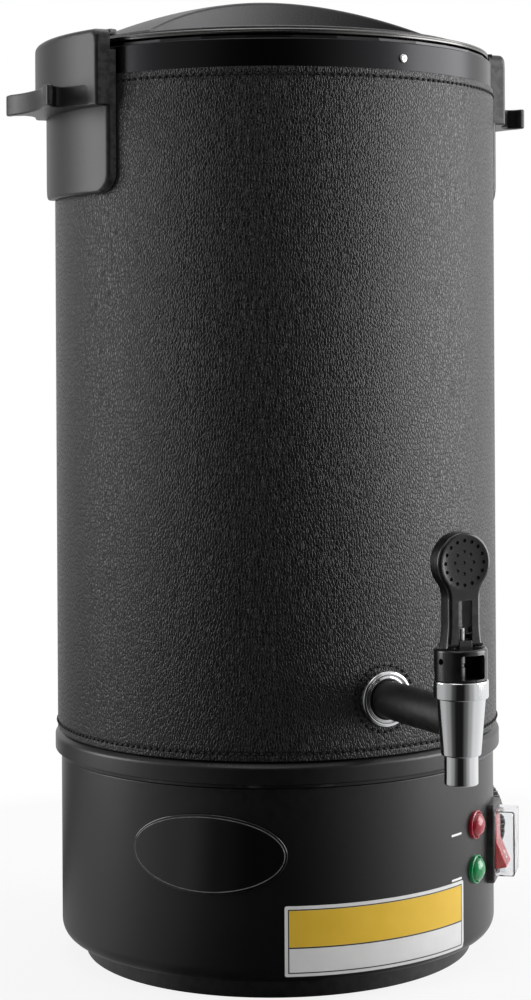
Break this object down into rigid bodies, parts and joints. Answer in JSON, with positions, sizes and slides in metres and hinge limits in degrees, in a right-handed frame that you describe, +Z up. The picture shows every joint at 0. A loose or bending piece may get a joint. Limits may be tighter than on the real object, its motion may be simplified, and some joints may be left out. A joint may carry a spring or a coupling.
{
  "type": "electric wax melting pot",
  "caption": "Heated wax melting pot with a leatherette jacket, twist-lock lid, side handles, lever tap, and a round control base with a dial, rocker switch and lamps.",
  "frame": {"origin": "on the pot's axis, on the flat underside of the bottom cover that the pot stands on", "axes": "+Z up along the pot's axis, -Y towards the tap, +X towards the handle on the right of the tap"},
  "size_m": [0.283, 0.3284, 0.503],
  "materials": {
    "leatherette": "black grained leatherette with black stitching",
    "band_steel": "dark satin steel",
    "pot_steel": "brushed stainless steel",
    "chrome": "polished chrome plate",
    "brass": "machined brass",
    "aluminium": "cast aluminium",
    "base_plastic": "smooth satin black plastic",
    "handle_plastic": "fine-textured charcoal plastic",
    "lid_plastic": "fine-textured dark grey plastic",
    "tap_plastic": "satin black plastic",
    "silicone": "black silicone",
    "insulation": "pale fibre mat",
    "red_plastic": "glossy red plastic",
    "red_lens": "clear red lens",
    "green_lens": "clear green lens",
    "clear_plastic": "clear soft plastic",
    "label_print": "blank printed plate in yellow and white",
    "badge_plastic": "blank glossy black badge"
  },
  "bodies": {
    "pot": {"leatherette_wrap": "leatherette", "outer_shell": "band_steel", "band_rivet": "pot_steel", "inner_pot": "pot_steel", "insulation_sleeve": "insulation", "base_collar": "base_plastic", "base_shell": "base_plastic", "bottom_cover": "tap_plastic", "bottom_screw_1": "pot_steel", "bottom_screw_2": "pot_steel", "bottom_screw_3": "pot_steel", "bottom_screw_4": "pot_steel", "handle_left": "handle_plastic", "handle_right": "handle_plastic", "handle_screw_1": "pot_steel", "handle_screw_2": "pot_steel", "handle_screw_3": "pot_steel", "handle_screw_4": "pot_steel", "handle_screw_5": "pot_steel", "handle_screw_6": "pot_steel", "handle_screw_7": "pot_steel", "handle_screw_8": "pot_steel", "tap_escutcheon": "chrome", "tap_outer_gasket": "silicone", "tap_inner_gasket": "silicone", "tap_nut": "brass", "tap_shank": "brass", "tap_sleeve": "tap_plastic", "tap_body": "chrome", "tap_bonnet": "tap_plastic", "heating_lamp_lens": "red_lens", "heating_lamp_body": "base_plastic", "standby_lamp_lens": "green_lens", "standby_lamp_body": "base_plastic", "switch_housing": "tap_plastic", "switch_dust_cover": "clear_plastic", "dial_ring": "base_plastic", "thermostat_body": "aluminium", "heater_plate": "aluminium", "heating_element": "pot_steel", "thermal_cutout": "base_plastic", "thermostat_sensor": "brass", "label_plate": "label_print", "badge_plate": "badge_plastic", "cord_gland": "tap_plastic", "gland_nut": "tap_plastic"},
    "lid": {"lid_cover": "lid_plastic", "lid_disc": "band_steel", "lid_seal": "silicone", "lid_screw_1": "pot_steel", "lid_screw_2": "pot_steel"},
    "tap_valve": {"tap_stem": "pot_steel", "tap_seat_cup": "silicone"},
    "tap_handle": {"tap_lever": "tap_plastic", "lever_pin": "pot_steel"},
    "rocker": {"rocker_button": "red_plastic"},
    "dial": {"thermostat_knob": "tap_plastic", "thermostat_shaft": "pot_steel"}
  },
  "joints": [
    {"name": "lid_turn", "type": "hinge", "parent": "pot", "child": "lid", "pos_m": [0, 0, 0.4754], "axis": [0, 0, 1], "range_deg": [0, 30]},
    {"name": "tap_stem_lift", "type": "slide", "parent": "pot", "child": "tap_valve", "axis": [0, 0, 1], "range_m": [0, 0.004]},
    {"name": "tap_lever_tilt", "type": "hinge", "parent": "tap_valve", "child": "tap_handle", "pos_m": [0, -0.1875, 0.1865], "axis": [1, 0, 0], "range_deg": [0, 35]},
    {"name": "rocker_press", "type": "hinge", "parent": "pot", "child": "rocker", "pos_m": [0.08855, -0.07431, 0.059], "axis": [0.6428, 0.766, 0], "range_deg": [0, 24]},
    {"name": "knob_turn", "type": "hinge", "parent": "pot", "child": "dial", "pos_m": [0.11544, -0.00605, 0.054], "axis": [0.9986, -0.0523, 0], "range_deg": [-270, 0]}
  ],
  "couplings": [
    {"joint": "tap_stem_lift", "follows": "tap_lever_tilt", "m_per_rad": 0.0065}
  ]
}
